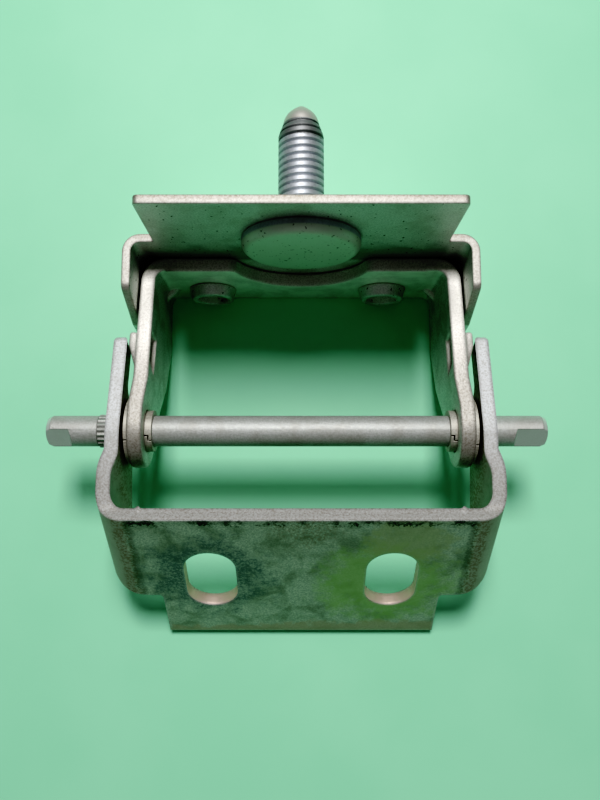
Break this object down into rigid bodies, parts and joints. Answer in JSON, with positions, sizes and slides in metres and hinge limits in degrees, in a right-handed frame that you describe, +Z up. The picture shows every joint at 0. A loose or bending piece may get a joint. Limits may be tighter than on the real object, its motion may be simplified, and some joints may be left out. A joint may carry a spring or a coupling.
{
  "type": "boot lid hinge",
  "caption": "Car boot lid hinge: two folded steel leaves on one pin, one with slotted bolt holes and the other with a threaded mounting stud.",
  "frame": {"origin": "on the ground under the middle of the hinge's box, standing as it rests with its leaves spread", "axes": "X along the hinge pin, +Y along the mounting stud towards its tip, +Z up"},
  "size_m": [0.0882, 0.0938, 0.044],
  "materials": {
    "slotted_sheet": "dull zinc on sheet steel, grimy and worn, with bolt prints round the slots",
    "inner_sheet": "dull zinc on sheet steel, speckled on the sheared edges",
    "plate_sheet": "dull zinc on sheet steel with dark specks of dirt",
    "pin_steel": "drawn steel rod, dull zinc",
    "stud_zinc": "bright bluish zinc",
    "bush_steel": "rolled strip, dull and stained"
  },
  "bodies": {
    "stud_leaf": {"inner_bracket": "inner_sheet", "stud_plate": "plate_sheet", "mounting_stud": "stud_zinc", "left_bush": "bush_steel", "right_bush": "bush_steel"},
    "slotted_leaf": {"slotted_bracket": "slotted_sheet", "hinge_pin": "pin_steel"}
  },
  "joints": [
    {"name": "hinge_turn", "type": "hinge", "parent": "stud_leaf", "child": "slotted_leaf", "pos_m": [0.00075, -0.00963, 0.019], "axis": [1, 0, 0], "range_deg": [-60, 40]}
  ]
}
